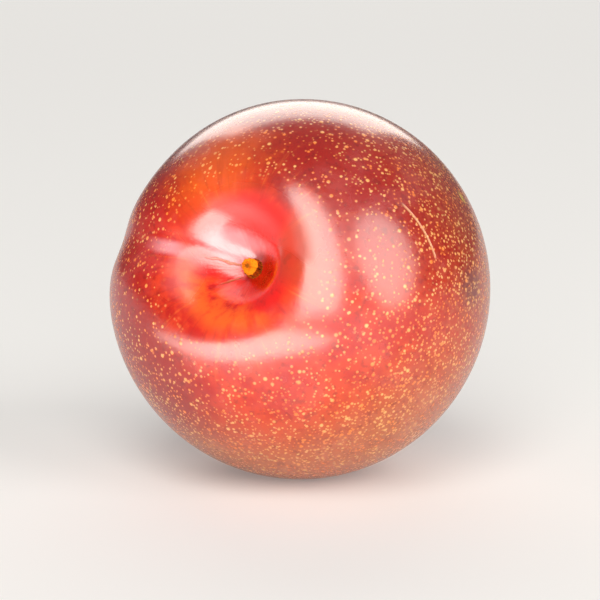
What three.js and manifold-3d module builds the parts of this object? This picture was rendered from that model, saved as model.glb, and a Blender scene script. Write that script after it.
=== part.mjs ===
// A whole plum, lying on its side, with the dried stub of its stalk in the stem cavity.
// Millimetres, +Z up. The stem end points to -Y and a little upwards.
// The origin is the centre of the small flat spot that the fruit rests on.
//
// The fruit's own frame, used for its shape, has its +Z out of the stem end and its +X towards the suture,
// the furrow that runs down one side from the stem end to the blossom end.

import * as THREE from 'three';
import { mergeVertices } from 'three/addons/utils/BufferGeometryUtils.js';
import Module from 'manifold-3d';

// Body of the fruit
const EQUATOR_RADIUS = 30;
const POLAR_RADIUS = 28.4;
const CAVITY_DEPTH = 9;
const CAVITY_SPREAD = 5.8;
const CAVITY_STRETCH = 0.7;
const BLOSSOM_DIMPLE_DEPTH = 0.5;
const BLOSSOM_DIMPLE_SPREAD = 2.4;

// Suture and the two cheeks beside it
const SUTURE_DEPTH = 1.15;
const SUTURE_SPREAD = 4.2;
const SUTURE_START = 5;
const CHEEK_DIFFERENCE = 0.45;
const CHEEK_DISTANCE = 11;

// How the fruit lies
const STEM_TILT = THREE.MathUtils.degToRad(19);
const SUTURE_TURN = THREE.MathUtils.degToRad(8);
const FLAT_SPOT_DEPTH = 0.45;

// Stub of the stalk
const STUB_RADIUS = 1.3;
const STUB_FOOT_RADIUS = 1.75;
const STUB_LENGTH = 2.8;
const STUB_LEAN = 0.05;
const STUB_GAP = 0.4;
const STUB_FLARE_SHARE = 0.3;
const STUB_BEVEL = 0.25;
const STUB_END_RADIUS = 1.1;
const STUB_HOLLOW = 0.35;

// Facets
const STEPS_ALONG = 44;
const STEPS_AROUND = 56;
const CROWDING_ALONG = 0.6;
const CROWDING_AROUND = 0.5;
const STUB_SIDES = 20;
const STUB_FOOT_STEPS = 3;
const SAME_CORNER = 1e-6;

const wasm = await Module();
wasm.setup();

// Spreads 0..1 over 0..1 with its steps crowded together near both ends.
function crowdEnds(fraction, crowding) {
  return fraction - crowding * Math.sin(2 * Math.PI * fraction) / (2 * Math.PI);
}

function bell(distance, spread) {
  return Math.exp(-((distance / spread) ** 2));
}

// Height of the unfurrowed surface at a distance from the fruit's axis, on the stem side. The cavity opens wider
// towards the suture.
function stemSideHeight(radius, around) {
  const dome = POLAR_RADIUS * Math.sqrt(1 - (radius / EQUATOR_RADIUS) ** 2);
  const spread = CAVITY_SPREAD * (1 + CAVITY_STRETCH * Math.cos(around / 2) ** 4);
  return dome - CAVITY_DEPTH * bell(radius, spread);
}

function blossomSideHeight(radius) {
  const dome = POLAR_RADIUS * Math.sqrt(Math.max(0, 1 - (radius / EQUATOR_RADIUS) ** 2));
  return BLOSSOM_DIMPLE_DEPTH * bell(radius, BLOSSOM_DIMPLE_SPREAD) - dome;
}

// How far the surface stands out or in because of the suture and the cheeks. The furrow starts in the stem
// cavity and dies out towards the blossom end. One cheek beside it is fuller than the other.
function reliefAt(polar, around, radius) {
  const aside = 2 * radius * Math.sin(around / 2);
  const start = 1 - bell(radius, SUTURE_START);
  const fade = Math.cos(polar / 2) ** 3;
  const furrow = SUTURE_DEPTH * start * fade * bell(aside, SUTURE_SPREAD);
  const share = radius * Math.sin(around) / CHEEK_DISTANCE;
  const nearness = Math.cos(around / 2) ** 2;
  const cheek = CHEEK_DIFFERENCE * nearness * share * Math.exp(0.5 - 0.5 * share ** 2);
  return cheek - furrow;
}

// Point of the surface at a polar angle from the stem end and an angle around from the suture.
function surfacePoint(polar, around) {
  const radius = EQUATOR_RADIUS * Math.sin(polar);
  const height = polar < Math.PI / 2 ? stemSideHeight(radius, around) : blossomSideHeight(radius);
  const point = new THREE.Vector3(radius * Math.cos(around), radius * Math.sin(around), height);
  const relief = reliefAt(polar, around, radius);
  return point.multiplyScalar(1 + relief / point.length());
}

// Turns the fruit's own frame into the way it lies, with the flat spot's centre at the origin.
function lyingPlace() {
  const stem = new THREE.Vector3(0, -Math.cos(STEM_TILT), Math.sin(STEM_TILT));
  const upAcross = new THREE.Vector3(0, Math.sin(STEM_TILT), Math.cos(STEM_TILT));
  const suture = new THREE.Vector3(-Math.cos(SUTURE_TURN), 0, 0);
  suture.addScaledVector(upAcross, Math.sin(SUTURE_TURN));
  const third = new THREE.Vector3().crossVectors(stem, suture);
  const place = new THREE.Matrix4().makeBasis(suture, third, stem);
  const lowest = Math.hypot(EQUATOR_RADIUS * Math.cos(STEM_TILT), POLAR_RADIUS * Math.sin(STEM_TILT));
  const unevenness = EQUATOR_RADIUS ** 2 - POLAR_RADIUS ** 2;
  const spotAhead = unevenness * Math.sin(STEM_TILT) * Math.cos(STEM_TILT) / lowest;
  return place.setPosition(0, spotAhead, lowest - FLAT_SPOT_DEPTH);
}

function bareGeometry(geometry) {
  const bare = geometry.index ? geometry.clone() : mergeVertices(geometry);
  bare.deleteAttribute('normal');
  bare.deleteAttribute('uv');
  return mergeVertices(bare, SAME_CORNER);
}

// A closed geometry as a solid, without the corners that fall together at a pole.
function solidOf(geometry) {
  const bare = bareGeometry(geometry);
  const corners = bare.index.array;
  const kept = [];
  for (let i = 0; i < corners.length; i += 3) {
    const [a, b, c] = [corners[i], corners[i + 1], corners[i + 2]];
    if (a !== b && b !== c && c !== a) kept.push(a, b, c);
  }
  return new wasm.Manifold(new wasm.Mesh({
    numProp: 3,
    vertProperties: new Float32Array(bare.attributes.position.array),
    triVerts: new Uint32Array(kept),
  }));
}

function geometryOf(solid) {
  const { vertProperties, triVerts } = solid.getMesh();
  const geometry = new THREE.BufferGeometry();
  geometry.setAttribute('position', new THREE.BufferAttribute(vertProperties, 3));
  geometry.setIndex(new THREE.BufferAttribute(triVerts, 1));
  geometry.computeVertexNormals();
  return geometry;
}

// The fruit: a sphere's grid laid over the surface above, turned to lie, then cut flat where it rests.
function fruitGeometry(place) {
  const grid = new THREE.SphereGeometry(1, STEPS_AROUND, STEPS_ALONG);
  const { position, uv } = grid.attributes;
  for (let i = 0; i < position.count; i += 1) {
    const polar = Math.PI * crowdEnds(1 - uv.getY(i), CROWDING_ALONG);
    const around = 2 * Math.PI * crowdEnds(uv.getX(i), CROWDING_AROUND);
    const point = surfacePoint(polar, around > Math.PI ? around - 2 * Math.PI : around);
    position.setXYZ(i, point.x, point.y, point.z);
  }
  grid.applyMatrix4(place);
  const ground = new THREE.BoxGeometry(4 * EQUATOR_RADIUS, 4 * EQUATOR_RADIUS, EQUATOR_RADIUS);
  ground.translate(0, 0, -EQUATOR_RADIUS / 2);
  return geometryOf(solidOf(grid).subtract(solidOf(ground)));
}

// The stub: a foot that follows the bottom of the cavity, a waist and a torn, slightly hollow end. It leans away
// from the suture.
function stubGeometry(place) {
  const foot = stemSideHeight(STUB_FOOT_RADIUS, Math.PI) + STUB_GAP;
  const top = stemSideHeight(0, 0) + STUB_GAP + STUB_LENGTH;
  const profile = [];
  for (let i = 0; i <= STUB_FOOT_STEPS; i += 1) {
    profile.push(new THREE.Vector2(STUB_FOOT_RADIUS * i / STUB_FOOT_STEPS, foot));
  }
  profile.push(new THREE.Vector2(STUB_RADIUS, foot + STUB_FLARE_SHARE * (top - foot)));
  profile.push(new THREE.Vector2(STUB_RADIUS, top - STUB_BEVEL));
  profile.push(new THREE.Vector2(STUB_END_RADIUS, top));
  profile.push(new THREE.Vector2(0, top - STUB_HOLLOW));
  const stub = new THREE.LatheGeometry(profile, STUB_SIDES);
  stub.rotateX(Math.PI / 2);
  const { position } = stub.attributes;
  for (let i = 0; i < position.count; i += 1) {
    const [x, y, z] = [position.getX(i), position.getY(i), position.getZ(i)];
    const rise = z - foot;
    if (rise < STUB_GAP / 2) {
      position.setZ(i, stemSideHeight(Math.hypot(x, y), Math.atan2(y, x)) + STUB_GAP);
    } else {
      position.setX(i, x - STUB_LEAN * rise ** 2);
    }
  }
  stub.applyMatrix4(place);
  return geometryOf(solidOf(stub));
}

function pieceOf(name, geometry, finish) {
  const piece = new THREE.Mesh(geometry, new THREE.MeshStandardMaterial(finish));
  piece.name = name;
  return piece;
}

const place = lyingPlace();
const plum = new THREE.Group();
plum.add(pieceOf('fruit', fruitGeometry(place), { color: 0xc8402f, roughness: 0.3, metalness: 0 }));
plum.add(pieceOf('stem_stub', stubGeometry(place), { color: 0xb5701c, roughness: 0.75, metalness: 0 }));

export default plum;
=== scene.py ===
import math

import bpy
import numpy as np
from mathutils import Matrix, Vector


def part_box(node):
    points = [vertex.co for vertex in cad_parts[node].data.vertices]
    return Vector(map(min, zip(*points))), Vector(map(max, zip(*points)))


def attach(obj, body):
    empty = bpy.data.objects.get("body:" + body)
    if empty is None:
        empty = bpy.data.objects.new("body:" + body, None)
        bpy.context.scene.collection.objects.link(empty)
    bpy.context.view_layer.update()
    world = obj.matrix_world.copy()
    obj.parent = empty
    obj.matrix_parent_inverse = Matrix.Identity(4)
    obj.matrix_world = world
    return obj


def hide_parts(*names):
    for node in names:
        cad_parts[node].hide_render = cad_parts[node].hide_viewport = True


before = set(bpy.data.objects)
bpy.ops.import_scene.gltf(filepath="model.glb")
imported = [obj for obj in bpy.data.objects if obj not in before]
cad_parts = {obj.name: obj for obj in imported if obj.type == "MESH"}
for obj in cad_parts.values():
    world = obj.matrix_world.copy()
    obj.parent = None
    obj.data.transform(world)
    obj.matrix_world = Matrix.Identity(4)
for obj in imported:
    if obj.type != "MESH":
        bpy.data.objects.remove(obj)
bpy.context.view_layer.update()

# A ripe red plum on its side, with the dried stub of its stalk, on a pale studio floor. Metres, in the
# frame of the CAD model: +Z up, the stem end towards -Y and a little upwards, and the origin at the
# centre of the spot that the fruit rests on. The fruit's own frame, used for its shape, has +Z out of
# the stem end and +X towards the suture, the furrow down one side.

MM = 0.001

# ---------------------------------------------------------------- sizes

# Body of the fruit
EQUATOR_RADIUS = 30 * MM
POLAR_RADIUS = 28.4 * MM
CAVITY_DEPTH = 9 * MM
CAVITY_SPREAD = 5.8 * MM
CAVITY_STRETCH = 0.7
BLOSSOM_DIMPLE_DEPTH = 0.5 * MM
BLOSSOM_DIMPLE_SPREAD = 2.4 * MM

# Suture and the two cheeks beside it
SUTURE_DEPTH = 1.15 * MM
SUTURE_SPREAD = 4.2 * MM
SUTURE_START = 5 * MM
CHEEK_DIFFERENCE = 0.45 * MM
CHEEK_DISTANCE = 11 * MM

# How the fruit lies
STEM_TILT = math.radians(19)
SUTURE_TURN = math.radians(8)
FLAT_SPOT_DEPTH = 0.45 * MM

# Stub of the stalk
STUB_RADIUS = 1.3 * MM
STUB_FOOT_RADIUS = 1.75 * MM
STUB_LENGTH = 3.1 * MM
STUB_LEAN = 0.05 / MM

# Where the object is seen from: the angle to the right of the stem end's side, the height angle, the
# distance, the lens and its sensor in millimetres, and how far under the fruit's middle it looks
CAMERA_TURN = math.radians(22.5)
CAMERA_RISE = math.radians(11)
CAMERA_AWAY = 0.5
CAMERA_LENS = 190
SENSOR_WIDTH = 36
AIM_DROP = 2 * MM

# Studio floor
FLOOR_RADIUS = 3
FLOOR_SIDES = 96
FLOOR_DROP = 0.02 * MM
FLOOR_GLOW = 0.17
ROOM_GLOW = 0.14

# Bright card on the floor: the angle to the right of the camera, its distance and its height
CARD_TURN = -36
CARD_AWAY = 0.2
CARD_HEIGHT = 1 * MM

# Slightly warm white of the lights
LIGHT_TINT = (1.0, 0.95, 0.88)

# Places on the skin, in the fruit's own frame and in millimetres
WARM_SHOULDER = (9, -14, 22)
DUSKY_SIDE = (-29, -6, 4)
# Middle of a painted shade in crimson, low on the side towards the suture
PAINTED_SHADE_SIDE = (14, 18, 16)
ARC_SCAR = (-23, -12, 14.3)
GREEN_MARK = (-23, -19.6, 1)
POLISHED_END = (-7, -1, 24)


# ---------------------------------------------------------------- shapes

def bell(distance, spread):
    """1 at no distance, falling off as exp(-(distance / spread) squared)."""
    return np.exp(-((distance / spread) ** 2))


def crowd_ends(fraction, crowding):
    """Spreads 0..1 over 0..1 with its steps crowded together near both ends."""
    return fraction - crowding * np.sin(2 * np.pi * fraction) / (2 * np.pi)


def unfurrowed_height(radius, around, stem_side):
    """Height of the plain body at a distance from its axis: half an ellipse, less a bell for the stem
    cavity on the stem side, or turned over with a small bell for the blossom end's dimple on the other
    side. The cavity's bell is wider towards the suture, by the fourth power of the cosine of half the
    angle around."""
    dome = POLAR_RADIUS * np.sqrt(np.maximum(0, 1 - (radius / EQUATOR_RADIUS) ** 2))
    spread = CAVITY_SPREAD * (1 + CAVITY_STRETCH * np.cos(around / 2) ** 4)
    cavity = CAVITY_DEPTH * bell(radius, spread)
    dimple = BLOSSOM_DIMPLE_DEPTH * bell(radius, BLOSSOM_DIMPLE_SPREAD)
    return np.where(stem_side, dome - cavity, dimple - dome)


def furrow_relief(polar, around, radius):
    """How far the surface stands out or in because of the suture and the cheeks. The furrow is a bell
    across, times the third power of the cosine of half the polar angle, and starts a little way out
    from the axis; the fuller cheek is the distance aside times a wide bell."""
    aside = 2 * radius * np.sin(around / 2)
    start = 1 - bell(radius, SUTURE_START)
    furrow = SUTURE_DEPTH * start * np.cos(polar / 2) ** 3 * bell(aside, SUTURE_SPREAD)
    share = radius * np.sin(around) / CHEEK_DISTANCE
    nearness = np.cos(around / 2) ** 2
    return CHEEK_DIFFERENCE * nearness * share * np.exp(0.5 - 0.5 * share ** 2) - furrow


def lying_place():
    """Turns the fruit's own frame into the way it lies, with the flat spot's centre at the origin."""
    stem = Vector((0, -math.cos(STEM_TILT), math.sin(STEM_TILT)))
    up_across = Vector((0, math.sin(STEM_TILT), math.cos(STEM_TILT)))
    suture = Vector((-math.cos(SUTURE_TURN), 0, 0)) + up_across * math.sin(SUTURE_TURN)
    third = stem.cross(suture)
    lowest = math.hypot(EQUATOR_RADIUS * math.cos(STEM_TILT), POLAR_RADIUS * math.sin(STEM_TILT))
    unevenness = EQUATOR_RADIUS ** 2 - POLAR_RADIUS ** 2
    spot_ahead = unevenness * math.sin(STEM_TILT) * math.cos(STEM_TILT) / lowest
    place = Matrix((suture, third, stem)).transposed().to_4x4()
    place.translation = (0, spot_ahead, lowest - FLAT_SPOT_DEPTH)
    return place


PLACE = lying_place()
FROM_FRUIT = np.array(PLACE)


def lay_down(points):
    """Carries points from the fruit's own frame to the model's frame."""
    return points @ FROM_FRUIT[:3, :3].T + FROM_FRUIT[:3, 3]


def unit_grid(rows, columns, crowd_rows, crowd_columns):
    """Polar angles down the rows and angles around the columns, as two arrays of the grid's size."""
    polar = np.pi * crowd_ends(np.linspace(0, 1, rows), crowd_rows)
    around = 2 * np.pi * crowd_ends(np.arange(columns) / columns, crowd_columns)
    around = np.where(around > np.pi, around - 2 * np.pi, around)
    return np.meshgrid(polar, around, indexing="ij")


def closed_mesh(name, points, notes):
    """A closed mesh from a grid of points whose first and last rows each fall together in a pole. notes
    are named numbers, one for each point of the grid, kept as attributes."""
    rows, columns = points.shape[:2]

    def poled(grid):
        """One value for each pole and all the values of the rows between."""
        middle = grid[1:-1].reshape(-1, *grid.shape[2:])
        return np.concatenate([grid[:1, 0], middle, grid[-1:, 0]])

    corners = poled(points)
    start = 1 + columns * np.arange(rows - 2)[:, None]
    here = start + np.arange(columns)
    beside = start + (np.arange(columns) + 1) % columns
    quads = np.stack([here[:-1], here[1:], beside[1:], beside[:-1]], -1).reshape(-1, 4)
    top = np.stack([np.zeros(columns, int), here[0], beside[0]], -1)
    bottom = np.stack([np.full(columns, len(corners) - 1), beside[-1], here[-1]], -1)
    mesh = bpy.data.meshes.new(name)
    mesh.from_pydata(corners.tolist(), [], quads.tolist() + top.tolist() + bottom.tolist())
    mesh.shade_smooth()
    for note, grid in notes.items():
        values = poled(np.broadcast_to(grid, (rows, columns)))
        mesh.attributes.new(note, "FLOAT", "POINT").data.foreach_set("value", values.astype(np.float32))
    mesh.validate()
    piece = bpy.data.objects.new(name, mesh)
    bpy.context.scene.collection.objects.link(piece)
    return piece


# ---------------------------------------------------------------- shader sheets

def srgb(red, green, blue):
    """A colour given in 0..255 steps as the eye sees them, as the linear colour that a shader works in."""
    steps = np.array([red, green, blue]) / 255
    linear = np.where(steps <= 0.04045, steps / 12.92, ((steps + 0.055) / 1.055) ** 2.4)
    return (*linear.tolist(), 1.0)


# Colours of the skin, from the darkest
DARK_CRIMSON = srgb(92, 10, 11)
CRIMSON = srgb(142, 18, 13)
BROWN_RED = srgb(146, 66, 34)
RED = srgb(184, 28, 14)
CAVITY_RED = srgb(216, 17, 13)
ORANGE_RED = srgb(206, 56, 22)
ORANGE = srgb(235, 98, 21)
TAN = srgb(183, 108, 56)
DOT_TAN = srgb(249, 191, 113)
STREAK_ORANGE = srgb(249, 136, 51)
SCAR = srgb(249, 191, 138)
YELLOW_GREEN = srgb(218, 193, 86)
# Pale pink of the wax bloom, also used for painted highlights in the stem cavity and along the furrow
BLOOM_AND_HIGHLIGHT_PINK = srgb(223, 168, 176)
AMBER = srgb(171, 86, 21)

# Colours of the stalk
STALK_DARK = srgb(43, 25, 10)
STALK_BROWN = srgb(108, 60, 17)
STALK_AMBER = srgb(191, 96, 7)
STALK_YELLOW = srgb(226, 128, 13)


class Value:
    """A number in a shader. Arithmetic on it adds the Math nodes that work it out."""

    def __init__(self, sheet, socket):
        self.sheet = sheet
        self.socket = socket

    def math(self, operation, *others, first=None):
        operands = [self if first is None else first, *others]
        return self.sheet.node("Math", {"operation": operation}, dict(enumerate(operands)))

    def __add__(self, other):
        return self.math("ADD", other)

    def __sub__(self, other):
        return self.math("SUBTRACT", other)

    def __mul__(self, other):
        return self.math("MULTIPLY", other)

    def __truediv__(self, other):
        return self.math("DIVIDE", other)

    def __pow__(self, other):
        return self.math("POWER", other)

    def __rsub__(self, other):
        return self.math("SUBTRACT", self, first=other)

    def __rtruediv__(self, other):
        return self.math("DIVIDE", self, first=other)

    __radd__ = __add__
    __rmul__ = __mul__


class Sheet:
    """A material's node sheet, with one Principled shader on its output."""

    def __init__(self, name, **constants):
        self.material = bpy.data.materials.new(name)
        self.material.use_nodes = True
        self.tree = self.material.node_tree
        self.tree.nodes.clear()
        self.shader = self.tree.nodes.new("ShaderNodeBsdfPrincipled")
        output = self.tree.nodes.new("ShaderNodeOutputMaterial")
        self.tree.links.new(self.shader.outputs[0], output.inputs["Surface"])
        self.feed(self.shader, {key.replace("_", " "): value for key, value in constants.items()})

    def feed(self, node, inputs):
        """Sets each named or numbered socket of a node, or links it to a value."""
        for key, value in inputs.items():
            if isinstance(value, Value):
                self.tree.links.new(value.socket, node.inputs[key])
            else:
                node.inputs[key].default_value = value

    def node(self, kind, settings, inputs, output=0):
        """Adds a node, settings first, and gives one of its outputs."""
        node = self.tree.nodes.new("ShaderNode" + kind)
        for key, value in settings.items():
            setattr(node, key, value)
        self.feed(node, inputs)
        return Value(self, node.outputs[output])

    def paint(self, **sockets):
        self.feed(self.shader, {key.replace("_", " "): value for key, value in sockets.items()})

    def note(self, name):
        """A number kept with the mesh's points."""
        return self.node("Attribute", {"attribute_name": name}, {}, "Fac")

    def vector(self, x, y, z):
        return self.node("CombineXYZ", {}, {0: x, 1: y, 2: z})

    def noise(self, where, scale, detail=3.0, roughness=0.5):
        """A smooth random number around 0.5."""
        inputs = {"Vector": where, "Scale": scale, "Detail": detail, "Roughness": roughness}
        return self.node("TexNoise", {}, inputs, "Fac")

    def ramp(self, value, low, high):
        """0 below low and 1 above high, eased between. Where low is above high it falls instead."""
        inputs = {"Value": value, "From Min": low, "From Max": high}
        return self.node("MapRange", {"interpolation_type": "SMOOTHSTEP"}, inputs)

    def mix(self, share, under, over):
        """A colour between two colours."""
        return self.node("Mix", {"data_type": "RGBA"}, {0: share, 6: under, 7: over}, 2)

    def bump(self, height, distance):
        return self.node("Bump", {}, {"Height": height, "Distance": distance})


# ---------------------------------------------------------------- finishes

class FruitSheet(Sheet):
    """A material's sheet with the point's place in the fruit's own frame, in millimetres: x towards the
    suture, y across it, z out of the stem end, and out, the distance from the axis."""

    def __init__(self, name, **constants):
        super().__init__(name, **constants)
        inverse = PLACE.inverted()
        spot = self.node("TexCoord", {}, {}, "Object")
        self.spot = self.node("Mapping", {}, {
            "Vector": spot,
            "Location": inverse.translation / MM,
            "Rotation": inverse.to_euler(),
            "Scale": (1 / MM,) * 3,
        })
        split = [self.node("SeparateXYZ", {}, {0: self.spot}, axis) for axis in "XYZ"]
        self.x, self.y, self.z = split
        self.out = (self.x * self.x + self.y * self.y + 1e-4) ** 0.5

    def along_meridians(self, across, along):
        """A place for patterns that run from the stem end to the blossom end: the direction from the
        axis times one number, and the height times another."""
        return self.vector(self.x / self.out * across, self.y / self.out * across, self.z * along)

    def away(self, place):
        """Distance from a place in the fruit's own frame."""
        return self.node("VectorMath", {"operation": "DISTANCE"}, {0: self.spot, 1: place}, "Value")

    def dots(self, spacing, size, share, shift=0.0):
        """Round dots scattered through the skin: 1 in a dot and 0 outside. size is their radius as a
        part of the spacing, and share is how many of the places hold one."""
        where = self.node("VectorMath", {"operation": "ADD"}, {0: self.spot, 1: (shift,) * 3})
        inputs = {"Vector": where, "Scale": 1 / spacing}
        distance = self.node("TexVoronoi", {}, inputs, "Distance")
        lot = self.node("TexVoronoi", {}, inputs, "Color")
        lot = self.node("SeparateColor", {}, {0: lot}, "Red")
        return self.ramp(distance, size, 0.35 * size) * self.ramp(share - lot, -0.02, 0.15)

    def line(self, offset, width):
        """1 where an offset is near 0, fading to 0 at a width."""
        return self.ramp(offset.math("ABSOLUTE"), width, 0.3 * width)


def plum_skin():
    """Waxy skin: crimson over orange, streaked near the stem end, with pale dots that crowd towards the
    blossom end, where the ground colour turns tan."""
    sheet = FruitSheet("plum_skin", Coat_Roughness=0.18, Coat_IOR=1.6, Specular_IOR_Level=0.8,
                       Subsurface_Weight=0.06, Subsurface_Radius=(1.0, 0.3, 0.15), Subsurface_Scale=2 * MM)
    x, y, z, out = sheet.x, sheet.y, sheet.z, sheet.out
    on_stem_side = sheet.ramp(z, 10, 14)
    in_cavity = sheet.ramp(out + y * 0.1, 11, 8) * on_stem_side
    shoulder = sheet.ramp(out, 18, 12) * on_stem_side * (1 - in_cavity)

    # Crimson on the side that faced the sun, tan and orange on the shaded side and towards the blossom end
    clouds = sheet.noise(sheet.spot, 0.07, 4.0, 0.55)
    patches = sheet.noise(sheet.spot, 0.28, 3.0, 0.6)
    mottle = sheet.noise(sheet.spot, 0.85, 3.0, 0.6)
    sunny = sheet.ramp(clouds * 16.0 - y - 8.0, -6, 14)
    far = sheet.ramp(z + patches * 10.0 - 5.0, 21, -8)
    colour = sheet.mix(sheet.ramp(clouds + patches * 0.5, 0.62, 0.88), RED, ORANGE_RED)
    colour = sheet.mix(sunny * 0.8, colour, CRIMSON)
    # A darker crimson cheek low on the side towards the suture, partly the skin's colour and partly painted
    # shade
    cheek = sheet.ramp(x + y * 0.7 + clouds * 10.0, 14, 32)
    colour = sheet.mix(cheek * 0.75, colour, CRIMSON)
    colour = sheet.mix(far * sheet.ramp(mottle, 0.3, 0.6) * 0.8, colour, BROWN_RED)
    under = sheet.ramp(y - x * 0.35 + patches * 8.0, 14, 32) * sheet.ramp(z, 22, 8)
    colour = sheet.mix(under * 0.6, colour, TAN)
    colour = sheet.mix(shoulder * sheet.ramp(patches, 0.4, 0.6) * 0.6, colour, ORANGE_RED)
    warm = sheet.ramp(sheet.away(WARM_SHOULDER) + patches * 12.0, 18, 8)
    colour = sheet.mix(warm * 0.6, colour, ORANGE)
    dusk = sheet.ramp(sheet.away(DUSKY_SIDE) + mottle * 4.0, 7.0, 3.0)
    # Painted shade: a darker crimson low on the side towards the suture
    painted_shade_low_side = sheet.ramp(sheet.away(PAINTED_SHADE_SIDE) + patches * 8.0, 20, 11)
    colour = sheet.mix(painted_shade_low_side * 0.8, colour, CRIMSON)
    colour = sheet.mix(dusk * 0.75, colour, DARK_CRIMSON)

    # Short streaks that run out from the stem end
    streaks = sheet.noise(sheet.along_meridians(9.0, 0.16), 1.6, 3.0, 0.6)
    streaky = sheet.ramp(out, 8, 12) * sheet.ramp(out, 22, 13) * on_stem_side
    pale_streaks = sheet.ramp(streaks + patches * 0.3, 0.74, 0.9) * streaky
    colour = sheet.mix(pale_streaks * 0.25, colour, STREAK_ORANGE)
    colour = sheet.mix(sheet.ramp(streaks, 0.46, 0.34) * streaky * 0.2, colour, DARK_CRIMSON)

    # Clear red inside the stem cavity, orange on its lower wall
    colour = sheet.mix(in_cavity * 0.85, colour, CAVITY_RED)
    veins = sheet.noise(sheet.along_meridians(3.0, 0.5), 1.6, 4.0, 0.6)
    colour = sheet.mix(sheet.ramp(veins + mottle * 0.5, 0.72, 0.5) * in_cavity * 0.5, colour, CRIMSON)
    lower_wall = sheet.ramp(y + x * 0.3 + patches * 6.0, 5.5, 11.0) * sheet.ramp(out, 12, 9) * on_stem_side
    colour = sheet.mix(lower_wall * sheet.ramp(veins, 0.25, 0.6) * 0.75, colour, ORANGE)

    # A pale patch beside the stub: pale skin with a painted highlight of the cavity's wall over it. Painted
    # shade in brownish red on the cavity's wall away from the suture
    aside = x - 3.2
    across = y + 2.5
    # Pale skin, partly a painted highlight of the cavity's wall
    pale_skin_and_painted_highlight = sheet.ramp((aside * aside * 0.3 + across * across) ** 0.5 + mottle, 4.0, 2.2) * on_stem_side
    colour = sheet.mix(pale_skin_and_painted_highlight * 0.5, colour, BLOOM_AND_HIGHLIGHT_PINK)
    # Painted shade on the cavity's wall away from the suture
    away_from_painted_shade = ((x + 8.5) * (x + 8.5) + (y + 3.5) * (y + 3.5) * 0.4) ** 0.5
    painted_shade_wall = sheet.ramp(away_from_painted_shade, 4.5, 2) * on_stem_side
    colour = sheet.mix(painted_shade_wall * 0.45, colour, BROWN_RED)

    # Fine mottling and tan netting towards the blossom end
    clean = sheet.ramp(out + sheet.ramp(z, 14, 10) * 20.0, 11, 16)
    netting = sheet.noise(sheet.spot, 1.5, 2.0, 0.6)
    colour = sheet.mix(sheet.ramp(netting, 0.47, 0.62) * far * 0.6, colour, TAN)
    colour = sheet.mix(sheet.ramp(mottle, 0.48, 0.3) * clean * (1 - warm) * 0.4, colour, DARK_CRIMSON)

    # Pale dots, crowded and small towards the blossom end
    crowd = sheet.ramp(z - y * 0.1, 25, 4)
    clear = sheet.ramp(out + sheet.ramp(z, 14, 10) * 20.0, 12, 16)
    large = sheet.dots(1.6, 0.27, 0.5 + crowd * 0.3)
    middling = sheet.dots(0.95, 0.34, 0.5 + crowd * 0.7, 7.0)
    small = sheet.dots(0.6, 0.4, 0.3 + crowd, 3.0)
    dots = large.math("MAXIMUM", middling * 0.9).math("MAXIMUM", small * 0.75) * clear
    dot_colour = sheet.mix(sheet.ramp(patches, 0.4, 0.6), STREAK_ORANGE, DOT_TAN)
    colour = sheet.mix(dots * 0.85, colour, dot_colour)

    # The dry tip of the blossom end
    tip = sheet.ramp(out + mottle * 0.8, 1.7, 1.0) * sheet.ramp(z, -10, -14)
    colour = sheet.mix(tip * 0.8, colour, AMBER)

    # A thin pale scar in an arc, and a small green mark
    arc_offset = z * 0.88 - x * 0.471 + y * 0.052 - 22.8
    arc = sheet.line(arc_offset, 0.18) * sheet.ramp(sheet.away(ARC_SCAR), 5.4, 4.2)
    mark = sheet.ramp(sheet.away(GREEN_MARK) + mottle * 2.0, 2.4, 1.4)
    colour = sheet.mix(arc * 0.5, colour, SCAR)
    colour = sheet.mix(mark * 0.7, colour, YELLOW_GREEN)

    # Dull amber crack from the stub along the suture, and a shorter one beside it
    wander = (sheet.noise(sheet.spot, 0.5, 2.0, 0.5) - 0.5) * 1.2
    near = sheet.ramp(x, 1.2, 1.8) * on_stem_side
    crack = sheet.line(y + wander, 0.22) * near * sheet.ramp(x, 9.0, 4.0)
    side_crack = sheet.line(y - x * 0.8 - 0.6 + wander, 0.2) * near * sheet.ramp(x, 4.6, 2.6)
    crack = crack.math("MAXIMUM", side_crack)
    colour = sheet.mix(crack * 0.8, colour, AMBER)

    # A pale band along the bottom of the furrow, where it leaves the cavity: paler skin and a painted
    # highlight of the furrow
    furrow_pale_and_highlight = sheet.line(y + wander * 0.5, 1.5) * sheet.ramp(x, 9, 13) * sheet.ramp(x, 19, 13) * on_stem_side
    colour = sheet.mix(furrow_pale_and_highlight * 0.5, colour, BLOOM_AND_HIGHLIGHT_PINK)

    # Duller skin on the cavity's upper wall, and on a spot beside it
    dull = sheet.ramp(y + x * 0.25, -4.2, -6.2) * sheet.ramp(out, 13, 10)
    dull_beside = sheet.ramp(((x - 9.5) * (x - 9.5) + (y - 4) * (y - 4)) ** 0.5, 5, 2)
    dull = dull.math("MAXIMUM", dull_beside * 0.7) * on_stem_side
    bloom = sheet.ramp(sheet.noise(sheet.spot, 0.11, 4.0, 0.6), 0.42, 0.7) * (1 - in_cavity)
    colour = sheet.mix(bloom * 0.06, colour, BLOOM_AND_HIGHLIGHT_PINK)

    # More polish round the stem end and on the upper side
    polished_top = sheet.ramp(y, -9, -16) * sheet.ramp(z, -6, 6)
    polished = sheet.ramp(sheet.away(POLISHED_END), 23, 15).math("MAXIMUM", polished_top)
    fine = sheet.noise(sheet.spot, 3.5, 2.0, 0.5)
    wrinkles = streaks * sheet.ramp(out, 9, 4) * on_stem_side
    relief = dots * 0.03 - crack * 0.12 + fine * 0.012 + mottle * 0.03 + wrinkles * 0.1
    relief = relief - arc * 0.05 - tip * 0.15
    sheet.paint(
        Base_Color=colour,
        Roughness=0.22 + bloom * 0.08 + dots * 0.1 - in_cavity * 0.1 + dull * 0.36,
        Coat_Weight=polished * (1 - crack) * (1 - dull),
        Normal=sheet.bump(relief, MM),
    )
    return sheet.material


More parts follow.
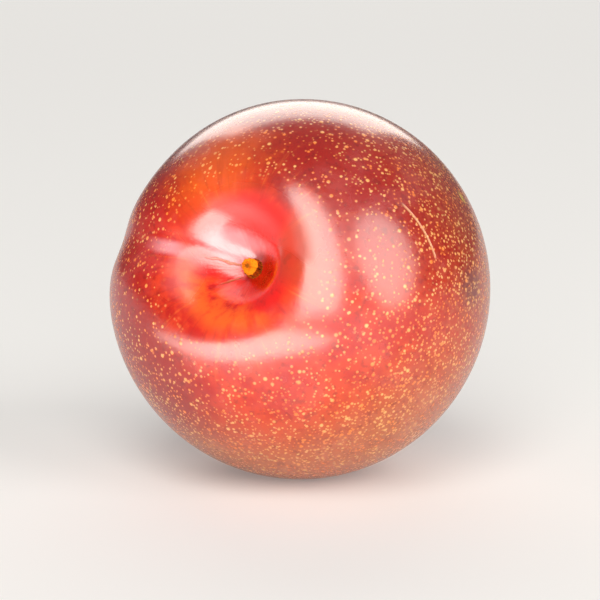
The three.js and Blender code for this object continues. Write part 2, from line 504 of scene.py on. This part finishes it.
def dried_stalk():
    """Dry fibres: amber on the torn end, brown along the side, with dark splits."""
    sheet = FruitSheet("dried_stalk", Specular_IOR_Level=0.1)
    fibres = sheet.noise(sheet.along_meridians(3.0, 0.25), 2.2, 4.0, 0.65)
    grain = sheet.noise(sheet.spot, 3.0, 4.0, 0.6)
    end = sheet.note("end")
    colour = sheet.mix(sheet.ramp(fibres, 0.35, 0.65), STALK_BROWN, STALK_AMBER)
    rim = sheet.ramp(sheet.out, 0.3, 1.1) * 0.25
    torn = sheet.mix(sheet.ramp(grain + rim, 0.45, 0.75), STALK_AMBER, STALK_YELLOW)
    torn = sheet.mix(sheet.ramp(sheet.out + grain * 0.5, 0.7, 0.4) * 0.7, torn, STALK_BROWN)
    colour = sheet.mix(end, colour, torn)
    colour = sheet.mix(sheet.ramp(fibres, 0.38, 0.3) * 0.8, colour, STALK_DARK)
    relief = sheet.bump(fibres * 0.12 + grain * 0.06, MM)
    sheet.paint(Base_Color=colour, Roughness=0.5 + grain * 0.3, Normal=relief)
    return sheet.material


# ---------------------------------------------------------------- pieces

def build_fruit():
    """The fruit's skin on a grid of polar angle by angle around: the plain body moved out or in from
    its centre by the relief of the suture and cheeks, laid down, and pressed flat where it meets the
    surface it rests on."""
    polar, around = unit_grid(rows=281, columns=336, crowd_rows=0.6, crowd_columns=0.5)
    radius = EQUATOR_RADIUS * np.sin(polar)
    height = unfurrowed_height(radius, around, polar < np.pi / 2)
    points = np.stack([radius * np.cos(around), radius * np.sin(around), height], -1)
    reach = np.linalg.norm(points, axis=-1)
    relief = furrow_relief(polar, around, radius)
    points = lay_down(points * (1 + relief / reach)[..., None])
    points[..., 2] = np.maximum(points[..., 2], 0)
    return closed_mesh("plum_fruit", points, {})


def build_stub():
    """The stub on a grid of a profile by angle around: a flared foot, a ribbed side and a torn end,
    higher on one side and hollowed in the middle. The ribs are waves around it, and it leans away from
    the suture by the square of the height."""
    rows, columns = 90, 96
    turns = 2 * np.pi * np.arange(columns) / columns
    along, around = np.meshgrid(np.linspace(0, 1, rows), turns, indexing="ij")
    stops = [0, 0.14, 0.22, 0.62, 0.68, 0.74, 1]
    widths = [0, STUB_FOOT_RADIUS, STUB_RADIUS * 1.08, STUB_RADIUS, STUB_RADIUS * 0.96, STUB_RADIUS * 0.84, 0]
    out = np.interp(along, stops, widths)
    foot = 0.45 * MM
    heights = [-foot, -0.4 * foot, foot * 1.6, STUB_LENGTH, STUB_LENGTH * 1.03, STUB_LENGTH, STUB_LENGTH * 0.9]
    up = np.interp(along, stops, heights)
    side = bell(along - 0.45, 0.24)
    ribs = 0.05 * np.cos(11 * around + 2 * along) + 0.04 * np.cos(17 * around + 1.3)
    out = out * (1 + ribs * side + 0.06 * np.cos(3 * around + 1) * np.clip(along / 0.3, 0, 1))
    torn = np.clip((along - 0.3) / 0.35, 0, 1)
    jag = 0.22 * np.cos(around + 0.6) + 0.09 * np.sin(5 * around) + 0.06 * np.sin(9 * around + 1)
    up = up + jag * MM * torn * np.clip(out / STUB_RADIUS, 0, 1)
    points = np.stack([out * np.cos(around) - STUB_LEAN * up ** 2, out * np.sin(around), up], -1)
    points[..., 2] += unfurrowed_height(0.0, 0.0, True)
    end = np.clip((along - 0.62) / 0.1, 0, 1)
    return closed_mesh("plum_stem_stub", lay_down(points[::-1]), {"end": end[::-1]})


def finish_piece(piece, node, material):
    """Puts a piece in place of its CAD node."""
    piece.data.materials.append(material)
    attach(piece, "root")
    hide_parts(node)


# ---------------------------------------------------------------- studio

def seen_from(turn, rise):
    """Unit vector from the fruit towards a place at an angle to the right of its stem end and a height
    angle."""
    level = math.cos(rise)
    return Vector((math.sin(turn) * level, -math.cos(turn) * level, math.sin(rise)))


def aim(item, place, target):
    """Puts a camera or light at a place, looking at a target."""
    item.location = place
    item.rotation_euler = (target - place).to_track_quat("-Z", "Y").to_euler()


def add_camera(target):
    data = bpy.data.cameras.new("camera")
    data.lens = CAMERA_LENS
    data.sensor_width = SENSOR_WIDTH
    camera = bpy.data.objects.new("camera", data)
    bpy.context.scene.collection.objects.link(camera)
    aim(camera, target + seen_from(CAMERA_TURN, CAMERA_RISE) * CAMERA_AWAY, target)
    bpy.context.scene.camera = camera


def add_softbox(name, target, turn, rise, away, width, height, glow, lean=0, shape="RECTANGLE"):
    """A flat light. turn is degrees to the right of the camera, rise is degrees above level, and lean
    is degrees that its top leans to the right. width and height are the angles that it covers, in
    degrees, and glow is its brightness, where 1 is white."""
    data = bpy.data.lights.new(name, "AREA")
    data.shape = shape
    data.size = 2 * away * math.tan(math.radians(width / 2))
    data.size_y = 2 * away * math.tan(math.radians(height / 2))
    data.energy = glow * math.pi * data.size * data.size_y
    data.color = LIGHT_TINT
    if shape == "ELLIPSE":
        # An ellipse fills pi / 4 of the rectangle round it
        data.energy *= math.pi / 4
    light = bpy.data.objects.new(name, data)
    light.visible_camera = False
    bpy.context.scene.collection.objects.link(light)
    direction = seen_from(CAMERA_TURN + math.radians(turn), math.radians(rise))
    aim(light, target + direction * away, target)
    light.rotation_euler.rotate_axis("Z", math.radians(lean))


def add_floor_card(name, centre, turn, length, width, glow):
    """A bright card that lies on the floor, facing up, turn degrees to the right of the camera's
    direction."""
    data = bpy.data.lights.new(name, "AREA")
    data.shape = "RECTANGLE"
    data.size = width
    data.size_y = length
    data.energy = glow * math.pi * width * length
    data.color = LIGHT_TINT
    light = bpy.data.objects.new(name, data)
    light.visible_camera = False
    bpy.context.scene.collection.objects.link(light)
    light.location = centre
    light.rotation_euler = (math.pi, 0, CAMERA_TURN + math.radians(turn))


def add_floor():
    """A wide, matt, pale disc."""
    sheet = Sheet("floor", Base_Color=srgb(222, 223, 224), Roughness=0.6, Specular_IOR_Level=0.0,
                  Emission_Color=srgb(255, 255, 255), Emission_Strength=FLOOR_GLOW)
    mesh = bpy.data.meshes.new("floor")
    turn = 2 * np.pi * np.arange(FLOOR_SIDES) / FLOOR_SIDES
    drop = np.full(FLOOR_SIDES, -FLOOR_DROP)
    rim = np.stack([FLOOR_RADIUS * np.cos(turn), FLOOR_RADIUS * np.sin(turn), drop], -1)
    mesh.from_pydata(rim.tolist(), [], [list(range(FLOOR_SIDES))])
    floor = bpy.data.objects.new("floor", mesh)
    bpy.context.scene.collection.objects.link(floor)
    mesh.materials.append(sheet.material)


def add_surroundings():
    """A dim grey room."""
    world = bpy.data.worlds.new("room")
    bpy.context.scene.world = world
    world.use_nodes = True
    world.node_tree.nodes["Background"].inputs["Color"].default_value = srgb(255, 255, 255)
    world.node_tree.nodes["Background"].inputs["Strength"].default_value = ROOM_GLOW


low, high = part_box("fruit")
middle = (low + high) / 2
add_camera(middle - Vector((0, 0, AIM_DROP)))
add_floor()
add_surroundings()
add_softbox("front_softbox", middle, turn=-1, rise=31, away=2, width=37, height=84, glow=4.7,
            lean=15, shape="ELLIPSE")
add_softbox("side_softbox", middle, turn=53, rise=24, away=2, width=36, height=52, glow=3.3,
            shape="ELLIPSE")
add_softbox("back_softbox", middle, turn=182, rise=30, away=2, width=44, height=34, glow=2.2)
card_centre = seen_from(CAMERA_TURN + math.radians(CARD_TURN), 0) * CARD_AWAY
card_centre += Vector((0, 0, CARD_HEIGHT))
add_floor_card("front_card", card_centre, turn=CARD_TURN, length=0.26, width=0.19, glow=4.1)
bpy.context.scene.view_settings.view_transform = "Standard"

finish_piece(build_fruit(), "fruit", plum_skin())
finish_piece(build_stub(), "stem_stub", dried_stalk())
